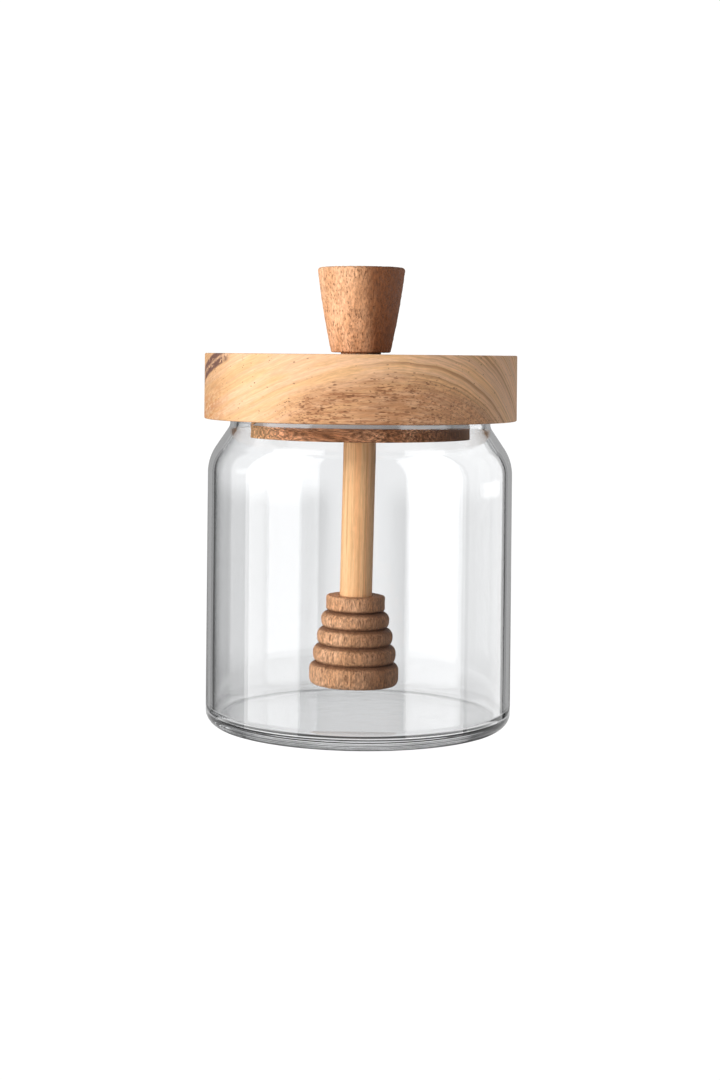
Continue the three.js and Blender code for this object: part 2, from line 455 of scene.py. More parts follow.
def tinted(tree, colour, factor, paint):
    """A colour with some of a property's colour over it."""
    return mix_colour(tree, factor, colour, rgba(paint))


def shaded(tree, colour, light):
    """A colour made lighter or darker by a factor about 1."""
    grey = add_node(tree, "ShaderNodeCombineColor", {0: light, 1: light, 2: light}).outputs[0]
    return mix_colour(tree, 1.0, colour, grey, "MULTIPLY")


def part_of(tree, vector, axis):
    """One part of a vector."""
    return add_node(tree, "ShaderNodeSeparateXYZ", {"Vector": vector}).outputs[axis]


def lid_wood(settings):
    """Honey-blonde wood with arching growth rings and fine fibres, and a browner heart with open pores."""
    material, tree, shader = new_material("lid wood")
    middle = (BOARD_LOW.z + BOARD_HIGH.z) / 2
    pith = (-21.0 * MM, -12.5 * MM, middle - 80.7 * MM)
    trunk = object_place(tree, pith, (0, math.radians(-3.6), math.radians(-59.2)))
    rings = use_group(tree, "Growth rings", {
        "Vector": trunk, "Spacing": 2.0 * MM, "Warp": 1.2 * MM, "Warp Size": 16.0 * MM, "Unevenness": 0.9,
        "Taper": -0.234,
    })
    level = object_place(tree, (0, 0, middle))
    across = part_of(tree, level, "X")
    along_rings = add_node(tree, "ShaderNodeCombineXYZ", {"X": across, "Z": rings["Distance"]}).outputs[0]
    fibre = fibres(tree, along_rings, 14.0, 0.6)
    cloud = fibres(tree, along_rings, 30.0, 4.0)
    dash = fibres(tree, level, 9.0, 0.65)
    smear = fibres(tree, level, 18.0, 1.4)
    speckle = fibres(tree, along_rings, 2.2, 0.4)
    right_side = smooth_range(tree, across, -6 * MM, 30 * MM, 0.12, 1.0)
    heart = smooth_range(tree, rings["Distance"], 66.0 * MM, 73.0 * MM, 1.0, 0.0)
    heart = times(tree, heart, smooth_range(tree, across, -32 * MM, -12 * MM, 0.0, 1.0))
    long_share = math_node(tree, "MULTIPLY_ADD", heart, 0.55, 0.02)
    long_pores = pore_mask(tree, level, 4.5, 0.6, long_share, 8.0)
    short_share = math_node(tree, "MULTIPLY_ADD", heart, 0.45, 0.05)
    short_pores = pore_mask(tree, level, 1.3, 0.55, short_share, 4.0)
    warm = smooth_range(tree, cloud, 0.4, 0.6)
    colour = mix_colour(tree, warm, rgba(settings.lid_pale), rgba(settings.lid_warm))
    brown = times(tree, heart, smooth_range(tree, smear, 0.36, 0.64, 0.5, 1.0))
    colour = tinted(tree, colour, brown, settings.lid_heart)
    tone = times(tree, rings["Tone"], times(tree, right_side, 0.42))
    colour = tinted(tree, colour, tone, settings.lid_ring)
    line = times(tree, rings["Line"], right_side)
    colour = tinted(tree, colour, line, settings.lid_ring)
    left_grain = smooth_range(tree, fibre, 0.34, 0.66, 0.92, 1.07)
    right_grain = smooth_range(tree, fibre, 0.34, 0.66, 0.8, 1.18)
    colour = shaded(tree, colour, mix_value(tree, right_side, left_grain, right_grain))
    colour = shaded(tree, colour, smooth_range(tree, speckle, 0.32, 0.68, 0.9, 1.08))
    colour = shaded(tree, colour, smooth_range(tree, across, -47 * MM, -34 * MM, 0.84, 1.0))
    dashes = times(tree, smooth_range(tree, dash, 0.525, 0.605), heart)
    colour = tinted(tree, colour, times(tree, dashes, 0.85), settings.lid_dash)
    for pores, depth in ((short_pores, 0.6), (long_pores, 0.7)):
        open_pores = times(tree, pores, depth)
        colour = tinted(tree, colour, open_pores, settings.pore_colour)
    dark, faint = dark_streaks(tree)
    colour = tinted(tree, colour, faint, settings.lid_edge)
    colour = tinted(tree, colour, dark, settings.streak_colour)
    roughness = smooth_range(tree, fibre, 0.3, 0.7, 0.48, 0.6)
    height = math_node(tree, "SUBTRACT", times(tree, fibre, 0.5), long_pores)
    finish_wood(tree, shader, colour, roughness, 0.35, bump(tree, height, 0.1 * MM, 0.7))
    return material


def dark_streaks(tree):
    """Masks of the dark, broken streaks that climb at the board's left-hand edge and of the lines there."""
    centre = (0, -13.5 * MM, 111.2 * MM)
    turned = object_place(tree, centre, (math.radians(-19), 0, 0))
    across, along, up = (part_of(tree, turned, axis) for axis in "XYZ")
    from_line = math_node(tree, "ABSOLUTE", up)
    band = smooth_range(tree, from_line, 1.9 * MM, 2.7 * MM, 1.0, 0.0)
    split = smooth_range(tree, from_line, 0.1 * MM, 0.6 * MM, 0.45, 1.0)
    band = times(tree, band, split)
    from_middle = math_node(tree, "ABSOLUTE", along)
    ends = smooth_range(tree, from_middle, 13.0 * MM, 17.0 * MM, 1.0, 0.0)
    side = smooth_range(tree, across, -41 * MM, -36 * MM, 1.0, 0.0)
    whole = times(tree, times(tree, band, ends), side)
    grain = add_node(tree, "ShaderNodeCombineXYZ", {"X": along, "Y": across, "Z": up}).outputs[0]
    stripes = fibres(tree, grain, 14.0, 1.0)
    breaks = fibres(tree, grain, 1.5, 5.0)
    dark = smooth_range(tree, stripes, 0.37, 0.46, 0.1, 1.0)
    dark = times(tree, dark, smooth_range(tree, breaks, 0.34, 0.44, 0.3, 1.0))
    whole = times(tree, whole, dark)
    low_edge = smooth_range(tree, across, -48.5 * MM, -37 * MM, 1.0, 0.0)
    below = smooth_range(tree, up, -11 * MM, -5 * MM, 1.0, 0.3)
    low_edge = times(tree, low_edge, below)
    lines = fibres(tree, grain, 9.0, 0.9)
    faint = times(tree, low_edge, smooth_range(tree, lines, 0.44, 0.56, 0.0, 0.8))
    return times(tree, whole, 0.88), faint


def turned_wood(tree, shader, settings, upright, heart, pore_length, groove_shade_and_cracks=None, contrast=1.0):
    """Brown open-pored wood with upright grain: heart is where it turns dark, as heartwood together with
    painted shade on the side away from the light; the optional groove mask adds painted shade in the grooves
    and dark cracks.
    """
    fibre = fibres(tree, upright, 7.0, 0.5)
    speckle = fibres(tree, upright, 1.3, 0.6)
    cloud = fibres(tree, upright, 14.0, 5.0)
    pores = pore_mask(tree, upright, pore_length, 0.5, 0.5, 5.0)
    tone = smooth_range(tree, cloud, 0.35, 0.65)
    colour = mix_colour(tree, tone, rgba(settings.turned_pale), rgba(settings.turned_dark))
    colour = tinted(tree, colour, heart, settings.heart_and_shade_colour)
    lines = smooth_range(tree, fibre, 0.3, 0.7, 1 - 0.18 * contrast, 1 + 0.14 * contrast)
    colour = shaded(tree, colour, lines)
    flecks = smooth_range(tree, speckle, 0.3, 0.65, 1 - 0.3 * contrast, 1 + 0.2 * contrast)
    colour = shaded(tree, colour, flecks)
    colour = tinted(tree, colour, times(tree, pores, 0.55), settings.pore_colour)
    # The optional mask paints shade into the grooves, and dark cracks, in the pores' colour
    if groove_shade_and_cracks is not None:
        colour = tinted(tree, colour, groove_shade_and_cracks, settings.pore_colour)
    roughness = smooth_range(tree, speckle, 0.3, 0.7, 0.5, 0.68)
    height = math_node(tree, "MULTIPLY_ADD", pores, -0.8, speckle)
    height = math_node(tree, "MULTIPLY_ADD", fibre, 0.5, height)
    finish_wood(tree, shader, colour, roughness, 0.3, bump(tree, height, 0.3 * MM, 0.8))


def knob_wood(settings):
    """The knob's wood: pitted all over, pale on the left, and darker heartwood with painted shade on the
    right, away from the light.
    """
    material, tree, shader = new_material("knob wood")
    upright = object_place(tree, (0, 0, KNOB_LOW.z), (0, math.radians(-90), 0))
    ragged = fibres(tree, upright, 16.0, 4.0)
    across = part_of(tree, object_place(tree), "X")
    across = math_node(tree, "MULTIPLY_ADD", ragged, 8.0 * MM, across)
    # heart darkens the right-hand side: partly heartwood, partly painted shade on the side away from the key
    # light
    heart = smooth_range(tree, across, 0.0, 9.5 * MM, 0.0, 0.95)
    turned_wood(tree, shader, settings, upright, heart, 1.2)
    return material


def dipper_wood(settings, grooves):
    """The head's wood: upright streaks and cracks, darker heartwood with painted shade on its right-hand
    side, and painted shade in the grooves, whose heights are given.
    """
    material, tree, shader = new_material("dipper wood")
    hung = object_place(tree, (0, 0, PLUG_LOW.z), (0, DIPPER_LEAN, 0))
    upright = object_place(tree, (0, 0, HEAD_LOW.z), (0, math.radians(-90), 0))
    # heart darkens the head's right-hand side: partly heartwood, partly painted shade on the side away from
    # the key light
    heart = smooth_range(tree, part_of(tree, hung, "X"), -6.0 * MM, 8.0 * MM, 0.0, 0.6)
    height = part_of(tree, hung, "Z")
    nearest = 1.0
    for groove in grooves:
        gap = math_node(tree, "ABSOLUTE", math_node(tree, "SUBTRACT", height, groove - PLUG_LOW.z))
        nearest = math_node(tree, "MINIMUM", gap, nearest)
    ragged = fibres(tree, upright, 2.0, 0.7)
    nearest = math_node(tree, "MULTIPLY_ADD", ragged, -0.9 * MM, nearest)
    # Painted shade in the grooves, darkest at each groove's floor and ragged at its edge; dark cracks are
    # added to the same mask
    groove_shade_and_cracks = smooth_range(tree, nearest, -0.1 * MM, 0.8 * MM, 0.7, 0.0)
    cracks = fibres(tree, upright, 5.0, 0.6)
    groove_shade_and_cracks = math_node(tree, "MAXIMUM", groove_shade_and_cracks, smooth_range(tree, cracks, 0.56, 0.68, 0.0, 0.5))
    turned_wood(tree, shader, settings, upright, heart, 2.6, groove_shade_and_cracks, 1.3)
    return material


def plug_wood(settings):
    """Reddish brown wood with its grain along X, curved rings at its left-hand end, and painted shade
    darkening its right end.
    """
    material, tree, shader = new_material("plug wood")
    turn = math.radians(-16)
    pith = (-34 * MM * math.cos(turn), -34 * MM, PLUG_LOW.z - 16 * MM)
    tree_place = object_place(tree, pith, (0, math.radians(4), turn))
    rings = use_group(tree, "Growth rings", {
        "Vector": tree_place, "Spacing": 1.5 * MM, "Warp": 2.0 * MM, "Warp Size": 12.0 * MM,
        "Unevenness": 0.8,
    })
    fibre = fibres(tree, tree_place, 9.0, 0.5)
    cloud = fibres(tree, tree_place, 22.0, 5.0)
    pores = pore_mask(tree, tree_place, 3.0, 0.5, 0.6, 6.0)
    across = part_of(tree, object_place(tree), "X")
    tone = smooth_range(tree, cloud, 0.35, 0.65)
    colour = mix_colour(tree, tone, rgba(settings.plug_pale), rgba(settings.plug_dark))
    left_end = smooth_range(tree, across, -33 * MM, -22 * MM, 0.75, 0.0)
    colour = tinted(tree, colour, left_end, settings.lid_warm)
    # Painted shade: the right-hand end, away from the key light, is darkened
    shaded_right_end = smooth_range(tree, across, 14 * MM, 30 * MM, 0.0, 0.85)
    colour = tinted(tree, colour, shaded_right_end, settings.plug_end_shade)
    lines = times(tree, rings["Line"], 0.8)
    colour = tinted(tree, colour, lines, settings.pore_colour)
    colour = shaded(tree, colour, smooth_range(tree, fibre, 0.36, 0.64, 0.6, 1.5))
    speckle = fibres(tree, tree_place, 3.2, 0.6)
    colour = shaded(tree, colour, smooth_range(tree, speckle, 0.36, 0.62, 0.58, 1.4))
    colour = tinted(tree, colour, times(tree, pores, 0.8), settings.pore_colour)
    height = math_node(tree, "SUBTRACT", times(tree, fibre, 0.5), pores)
    finish_wood(tree, shader, colour, 0.6, 0.3, bump(tree, height, 0.12 * MM, 0.7))
    return material


def bamboo(settings):
    """Pale orange bamboo with straight upright strands and fine fibre lines."""
    material, tree, shader = new_material("bamboo")
    hung = object_place(tree, (0, 0, PLUG_LOW.z), (0, DIPPER_LEAN - math.radians(90), 0))
    fibre = fibres(tree, hung, 45.0, 0.4)
    strand = fibres(tree, hung, 90.0, 1.5)
    fleck = fibres(tree, hung, 3.0, 0.4)
    tone = smooth_range(tree, strand, 0.38, 0.62)
    colour = mix_colour(tree, tone, rgba(settings.bamboo_pale), rgba(settings.bamboo_warm))
    lines = smooth_range(tree, fibre, 0.46, 0.66, 0.0, 0.7)
    colour = tinted(tree, colour, lines, settings.bamboo_fibre)
    colour = shaded(tree, colour, smooth_range(tree, fleck, 0.3, 0.7, 0.98, 1.14))
    roughness = smooth_range(tree, fibre, 0.3, 0.7, 0.4, 0.55)
    finish_wood(tree, shader, colour, roughness, 0.4, bump(tree, fibre, 0.08 * MM, 0.6))
    return material


def silicone(settings):
    """Plain grey silicone with a faint cloudy bloom."""
    material, tree, shader = new_material("silicone")
    place = object_place(tree)
    bloom = add_node(tree, "ShaderNodeTexNoise", {"Vector": place, "Scale": 180.0, "Detail": 2.0})
    bloom = bloom.outputs["Fac"]
    pale = tuple(min(1.0, c * 1.12) for c in settings.silicone_colour)
    colour = mix_colour(tree, bloom, rgba(settings.silicone_colour), rgba(pale))
    roughness = smooth_range(tree, bloom, 0.3, 0.7, 0.42, 0.55)
    set_inputs(tree, shader, {"Base Color": colour, "Roughness": roughness})
    return material


def colour_property(name, description, default):
    """A colour that a user may change."""
    return bpy.props.FloatVectorProperty(
        name=name, description=description, subtype="COLOR", size=3, min=0.0, max=1.0, default=default
    )


def length_property(name, description, millimetres):
    """A length that a user may change."""
    return bpy.props.FloatProperty(
        name=name, description=description, default=millimetres * MM, min=0.1 * MM, unit="LENGTH"
    )


def brightness_property(name, description, default):
    """A brightness that a user may change."""
    return bpy.props.FloatProperty(name=name, description=description, default=default, min=0.0)


class HoneyJarGlass(bpy.types.PropertyGroup):
    """Sizes and finish of the glass."""

    wall: length_property("Wall", "Thickness of the glass wall", 2.5)
    neck_radius: length_property("Neck radius", "Outer radius of the neck", 40.9)
    shoulder_slope: bpy.props.FloatProperty(
        name="Shoulder slope", description="Angle between the shoulder and the wall",
        default=math.radians(34), unit="ROTATION",
    )
    shoulder_round: length_property("Shoulder round", "Radius of the bend into the wall", 15.0)
    neck_round: length_property("Neck round", "Radius of the bend into the neck", 3.0)
    base: length_property("Base", "Thickness of the base", 3.2)
    base_round: length_property("Base round", "Outer radius round the base", 4.4)
    floor_round: length_property("Floor round", "Inner radius round the floor", 3.2)
    glass_ior: bpy.props.FloatProperty(
        name="IOR", description="Refractive index of the glass", default=1.47, min=1.0, max=2.0
    )
    glass_density: bpy.props.FloatProperty(
        name="Density", description="How much light a metre of the glass takes", default=6.0, min=0.0
    )
    glass_colour: colour_property("Glass colour", "Tint of the glass surface", (0.985, 0.99, 0.995))
    silicone_colour: colour_property("Silicone colour", "Colour of the sealing ring", (0.95, 0.94, 0.94))


class HoneyJarWood(bpy.types.PropertyGroup):
    """Colours of the wooden pieces."""

    lid_pale: colour_property("Lid pale", "Palest wood of the board", (0.82, 0.50, 0.30))
    lid_warm: colour_property("Lid warm", "Warmer wood of the board", (0.78, 0.46, 0.23))
    lid_heart: colour_property("Lid heart", "Browner wood in the board's middle", (0.50, 0.245, 0.118))
    lid_ring: colour_property("Lid rings", "Growth lines of the board", (0.40, 0.20, 0.09))
    lid_edge: colour_property("Lid edge", "Lines at the board's left edge", (0.50, 0.20, 0.07))
    lid_dash: colour_property("Lid dashes", "Brown dashes in the board's middle", (0.34, 0.15, 0.07))
    pore_colour: colour_property("Pores", "Inside of the open pores", (0.16, 0.065, 0.03))
    streak_colour: colour_property("Dark streak", "Streak at the board's left edge", (0.09, 0.04, 0.04))
    plug_pale: colour_property("Plug pale", "Paler wood of the plug", (0.62, 0.31, 0.17))
    plug_dark: colour_property("Plug dark", "Darker wood of the plug", (0.36, 0.15, 0.07))
    # Painted shade on the plug's right-hand end
    plug_end_shade: colour_property("Plug end", "Dark right-hand end of the plug", (0.12, 0.045, 0.02))
    turned_pale: colour_property("Turned pale", "Paler wood of the knob and the head", (0.84, 0.48, 0.28))
    turned_dark: colour_property("Turned dark", "Darker wood of the knob and the head", (0.72, 0.38, 0.20))
    # Heartwood together with painted shade on the right-hand side of the knob and the head
    heart_and_shade_colour: colour_property("Turned heart", "Heartwood on their right-hand side", (0.19, 0.062, 0.02))
    bamboo_pale: colour_property("Bamboo pale", "Paler strands of the stem", (0.97, 0.61, 0.32))
    bamboo_warm: colour_property("Bamboo warm", "Warmer strands of the stem", (0.94, 0.51, 0.24))
    bamboo_fibre: colour_property("Bamboo fibre", "Fibre lines of the stem", (0.62, 0.31, 0.13))


class HoneyJarStage(bpy.types.PropertyGroup):
    """The studio round the jar."""

    key_power: bpy.props.FloatProperty(
        name="Key light", description="Power of the soft light from the left", default=13.4, unit="POWER"
    )
    room_light: brightness_property("Room light", "Light that the room gives to the wood", 0.32)
    sweep_light: brightness_property("Sweep light", "Light that the white sweep gives to the wood", 0.35)
    through_left: brightness_property("Through the left", "How bright the white looks there", 0.69)
    through_right: brightness_property("Through the right", "The same for its right", 0.84)
    through_middle: brightness_property("Through the middle", "The same right behind the jar", 1.0)
    through_far: brightness_property("Through to the wall", "The same far behind the jar", 1.0)
    mirrored_sweep: brightness_property("Mirrored sweep", "How bright it looks in the glass, low down", 0.38)
    mirrored_high: brightness_property("Mirrored high", "The same, high up", 0.7)
    mirrored_top: brightness_property("Mirrored top", "The same at the backdrop's top", 1.8)
    mirrored_floor: brightness_property("Mirrored floor", "The same for the floor below the jar", 0.8)
    mirrored_room: brightness_property("Mirrored room", "The same for the dark room", 0.06)
    left_softbox: brightness_property("Left softbox", "How bright it looks in the glass", 3.0)
    right_softbox: brightness_property("Right softbox", "The same for the one on the right", 3.0)
    window: brightness_property("Window", "The same for the small window", 2.3)
    right_card: brightness_property("Right card", "The same for the card on the right", 1.3)


def shoulder(glass, inset):
    """One face of the jar from its wall up to its neck, moved into the glass by inset."""
    slope = glass.shoulder_slope
    bends = glass.shoulder_round + glass.neck_round
    cone_width = JAR_RADIUS - glass.neck_radius - bends * (1 - math.cos(slope))
    neck_start = MOUTH_HEIGHT - glass.wall / 2
    low = neck_start - bends * math.sin(slope) - cone_width / math.tan(slope)
    degrees = math.degrees(slope)
    outward = arc(JAR_RADIUS - glass.shoulder_round, low, glass.shoulder_round - inset, 0, degrees, 20)
    neck_middle = glass.neck_radius + glass.neck_round
    inward = arc(neck_middle, neck_start, glass.neck_round + inset, 180 + degrees, 180, 10)
    return outward + inward


class HONEYJAR_OT_glass(bpy.types.Operator):
    """Turn the glass jar with its wall, shoulder, rounded mouth and base"""

    bl_idname = "honeyjar.glass"
    bl_label = "Glass jar"

    def execute(self, context):
        glass = context.scene.honeyjar_glass
        rim_round = 0.5 * MM
        rim_height = MOUTH_HEIGHT - rim_round
        rim = arc(glass.neck_radius - rim_round, rim_height, rim_round, 0, 90, 6)
        rim += arc(glass.neck_radius - glass.wall + rim_round, rim_height, rim_round, 90, 180, 6)
        floor_edge = JAR_RADIUS - glass.wall - glass.floor_round
        floor = arc(floor_edge, glass.base + glass.floor_round, glass.floor_round, 0, -90, 12)
        profile = (
            [(0.0, 0.0)]
            + arc(JAR_RADIUS - glass.base_round, glass.base_round, glass.base_round, -90, 0, 16)
            + shoulder(glass, 0.0)
            + rim
            + shoulder(glass, glass.wall)[::-1]
            + floor
            + [(0.0, glass.base)]
        )
        jar = turn_piece("glass_jar", profile, FINE_SIDES)
        finish_piece(jar, "jar_glass", clear_glass(glass))
        return {"FINISHED"}


class HONEYJAR_OT_lid(bpy.types.Operator):
    """Turn the lid: the thick board and the darker plug below it"""

    bl_idname = "honeyjar.lid"
    bl_label = "Lid"

    def execute(self, context):
        wood = context.scene.honeyjar_wood
        edge = 0.45 * MM
        board_profile = (
            [(0.0, BOARD_LOW.z)]
            + rounded_side(BOARD_RADIUS, BOARD_LOW.z, BOARD_HIGH.z, edge, 5)
            + [(0.0, BOARD_HIGH.z)]
        )
        board = turn_piece("board", board_profile, FINE_SIDES)
        finish_piece(board, "lid_board", lid_wood(wood))
        hole = STEM_RADIUS + SOCKET_CLEARANCE
        hole_end = PLUG_LOW.z + STEM_LET_IN + SOCKET_CLEARANCE
        edge = 0.3 * MM
        plug_profile = (
            [(0.0, hole_end), (hole, hole_end), (hole, PLUG_LOW.z)]
            + rounded_side(PLUG_RADIUS, PLUG_LOW.z, RING_LOW.z, edge, 4)
            + [(RING_SEAT_RADIUS, RING_LOW.z), (RING_SEAT_RADIUS, PLUG_HIGH.z), (0.0, PLUG_HIGH.z)]
        )
        plug = turn_piece("plug", plug_profile, FINE_SIDES)
        finish_piece(plug, "lid_plug", plug_wood(wood))
        return {"FINISHED"}


class HONEYJAR_OT_ring(bpy.types.Operator):
    """Mould the grey sealing ring with its flared lip"""

    bl_idname = "honeyjar.ring"
    bl_label = "Sealing ring"

    def execute(self, context):
        inner = RING_SEAT_RADIUS + 0.2 * MM
        lip = 0.25 * MM
        profile = (
            [(inner, RING_LOW.z)]
            + [(PLUG_RADIUS - 0.2 * MM, RING_LOW.z), (PLUG_RADIUS + 0.1 * MM, RING_LOW.z + 0.15 * MM)]
            + arc(RING_RADIUS - lip, RING_HIGH.z - 2 * lip, lip, -45, 0, 3)
            + arc(RING_RADIUS - lip, RING_HIGH.z - lip, lip, 0, 90, 4)
            + [(inner, RING_HIGH.z), (inner, RING_LOW.z)]
        )
        ring = turn_piece("sealing_ring", profile, FINE_SIDES)
        finish_piece(ring, "seal_ring", silicone(context.scene.honeyjar_glass))
        return {"FINISHED"}


class HONEYJAR_OT_knob(bpy.types.Operator):
    """Turn the tapered knob on its small foot"""

    bl_idname = "honeyjar.knob"
    bl_label = "Knob"

    def execute(self, context):
        top_radius = KNOB_HIGH.x + 0.1 * MM
        low_radius = 9.55 * MM
        top_round = 1.1 * MM
        low_round = 0.7 * MM
        foot_radius = 6.4 * MM
        bulge = 0.3 * MM
        seat = KNOB_LOW.z + 0.5 * MM
        top = KNOB_HIGH.z - 0.05 * MM
        side_start = seat + low_round
        side_height = top - top_round - side_start
        side = []
        for i in range(1, 16):
            share = i / 16
            radius = low_radius + (top_radius - low_radius) * share + bulge * math.sin(math.pi * share)
            side.append((radius, side_start + side_height * share))
        profile = (
            [(0.0, KNOB_LOW.z), (foot_radius, KNOB_LOW.z), (foot_radius, seat)]
            + arc(low_radius - low_round, seat + low_round, low_round, -90, 0, 6)
            + side
            + arc(top_radius - top_round, top - top_round, top_round, 0, 90, 8)
            + [(0.0, top)]
        )
        knob = turn_piece("turned_knob", filled_in(profile, RELIEF_STEP), RELIEF_SIDES)
        carve_relief(knob, "pitting", 1.0 * MM, (1, 1, 1.7), 0.28 * MM)
        finish_piece(knob, "knob", knob_wood(context.scene.honeyjar_wood))
        return {"FINISHED"}


def ring_outline(ring, bottom, low_groove, high_groove):
    """A ring of the head from its lower groove up to its upper one, with rounded edges."""
    height, radius, roundness = ring
    reach = height * roundness / 2
    steps = 9
    outline = []
    for groove, centre, start, stop in (
        (low_groove, bottom + reach, -90, 0),
        (high_groove, bottom + height - reach, 0, 90),
    ):
        for i in range(steps + 1):
            angle = math.radians(start + (stop - start) * i / steps)
            outline.append((groove + (radius - groove) * math.cos(angle), centre + reach * math.sin(angle)))
    return outline


class HONEYJAR_OT_dipper(bpy.types.Operator):
    """Turn the dipper's head with its rings, and its bamboo stem"""

    bl_idname = "honeyjar.dipper"
    bl_label = "Dipper"

    def execute(self, context):
        wood = context.scene.honeyjar_wood
        bottom = PLUG_LOW.z - DIPPER_LENGTH
        top = bottom + sum(ring[0] for ring in HEAD_RINGS)
        hole = STEM_RADIUS + SOCKET_CLEARANCE
        socket = top - STEM_IN_HEAD - SOCKET_CLEARANCE
        outline = []
        grooves = []
        z = bottom
        for i in reversed(range(len(HEAD_RINGS))):
            ring = HEAD_RINGS[i]
            low_groove = ring[1] - GROOVE_DEPTH
            high_groove = HEAD_RINGS[i - 1][1] - GROOVE_DEPTH if i else ring[1] - GROOVE_DEPTH / 2
            outline += ring_outline(ring, z, low_groove, high_groove)
            z += ring[0]
            grooves.append(z)
        profile = [(0.0, bottom)] + outline + [(hole, top), (hole, socket), (0.0, socket)]
        head = turn_piece("ringed_head", filled_in(profile, RELIEF_STEP), RELIEF_SIDES)
        carve_relief(head, "streaks", 0.9 * MM, (1, 1, 3.0), 0.24 * MM)
        lean_dipper(head)
        finish_piece(head, "dipper_head", dipper_wood(wood, grooves[:-1]))

        end = top - STEM_IN_HEAD
        start = PLUG_LOW.z + STEM_LET_IN
        side = rounded_side(STEM_RADIUS, end, start, 0.3 * MM, 3)
        stem_profile = filled_in([(0.0, end)] + side + [(0.0, start)], 2 * MM)
        stem = turn_piece("bamboo_stem", stem_profile, STEM_SIDES)
        lean_dipper(stem)
        finish_piece(stem, "stem", bamboo(wood))
        return {"FINISHED"}


def has_bounced(tree, path, kind):
    """1 for a ray that has bounced off a surface in a given way, Glossy or Diffuse."""
    return math_node(tree, "GREATER_THAN", path[kind + " Depth"], 0.5)


def glow_strength(tree, seen, through, mirrored, lit):
    """A brightness for each kind of look: straight, through glass, mirrored, and as light on a surface."""
    path = add_node(tree, "ShaderNodeLightPath").outputs
    plain = mix_value(tree, path["Is Camera Ray"], through, seen)
    gloss = mix_value(tree, has_bounced(tree, path, "Glossy"), plain, mirrored)
    return mix_value(tree, has_bounced(tree, path, "Diffuse"), gloss, lit)


def glow_material(name):
    """A material that is no lamp and has no shader yet: its node tree and its surface input."""
    material = bpy.data.materials.new(name)
    material.use_nodes = True
    material.cycles.emission_sampling = "NONE"
    tree = material.node_tree
    tree.nodes.remove(tree.nodes["Principled BSDF"])
    return material, tree, tree.nodes["Material Output"].inputs["Surface"]


def white_glow(tree, strength):
    """A white glow with a given strength."""
    return add_node(tree, "ShaderNodeEmission", {"Color": (1, 1, 1, 1), "Strength": strength}).outputs[0]


def white_surface(name, seen, through, through_middle, through_far, mirrored, lit):
    """A white glow that looks even when seen straight on.

    Through glass it has a brightness at its left and its right, one in its middle and one at its far end.
    Mirrored, it has one brightness, one in the middle of its far end and one in a band above that.
    """
    material, tree, surface = glow_material(name)
    place = object_place(tree)
    across, along = part_of(tree, place, "X"), part_of(tree, place, "Y")
    from_middle = math_node(tree, "ABSOLUTE", across)
    from_viewer = math_node(tree, "ADD", along, VIEWER_DISTANCE)
    aside = math_node(tree, "DIVIDE", from_middle, from_viewer)
    side = smooth_range(tree, across, *SIDES_BLEND, *through)
    through_here = smooth_range(tree, aside, *MIDDLE_STRIP, through_middle, side)
    near_end = smooth_range(tree, along, *NEAR_END)
    through_here = times(tree, through_here, near_end)
    far_end = smooth_range(tree, along, *FAR_END)
    through_here = mix_value(tree, far_end, through_here, through_far)
    high = smooth_range(tree, along, *HIGH_START)
    high = times(tree, high, smooth_range(tree, from_middle, *HIGH_SIDES))
    mirrored_here = mix_value(tree, high, mirrored[0], mirrored[1])
    top = smooth_range(tree, along, *TOP_START)
    mirrored_here = mix_value(tree, top, mirrored_here, mirrored[2])
    above = smooth_range(tree, along, *TOP_END)
    mirrored_here = times(tree, mirrored_here, above)
    strength = glow_strength(tree, seen, through_here, mirrored_here, lit)
    tree.links.new(white_glow(tree, strength), surface)
    return material


def card_material(name, brightness, fade):
    """A card that shows only where a glossy surface mirrors it, and that fades out at its sides."""
    material, tree, surface = glow_material(name)
    path = add_node(tree, "ShaderNodeLightPath").outputs
    is_first = math_node(tree, "LESS_THAN", path["Diffuse Depth"], 0.5)
    shows = times(tree, has_bounced(tree, path, "Glossy"), is_first)
    place = add_node(tree, "ShaderNodeTexCoord").outputs["Object"]
    from_middle = math_node(tree, "ABSOLUTE", part_of(tree, place, "X"))
    strength = smooth_range(tree, from_middle, 0.5 - fade / 2, 0.5, brightness, 0.0)
    clear = add_node(tree, "ShaderNodeBsdfTransparent").outputs[0]
    tree.links.new(mix_shader(tree, shows, clear, white_glow(tree, strength)), surface)
    return material


def add_sheet(name, location, size, rotation, material):
    """A flat sheet of the stage, with its middle at location."""
    clear_selection()
    bpy.ops.mesh.primitive_plane_add(size=1.0, location=location, rotation=rotation)
    sheet = bpy.context.object
    sheet.name = name
    sheet.scale = (size[0], size[1], 1.0)
    sheet.data.materials.append(material)
    return sheet


def add_card(name, start, stop, low, high, brightness, fade=0.02, distance=0.95):
    """An upright card that the glass mirrors, between two azimuths in degrees to the right of the camera."""
    middle = math.radians((start + stop) / 2)
    width = 2 * distance * math.tan(math.radians(abs(stop - start) / 2))
    place = (distance * math.sin(middle), -distance * math.cos(middle), (low + high) / 2)
    rotation = (math.radians(90), 0, middle)
    return add_sheet(name, place, (width, high - low), rotation, card_material(name, brightness, fade))


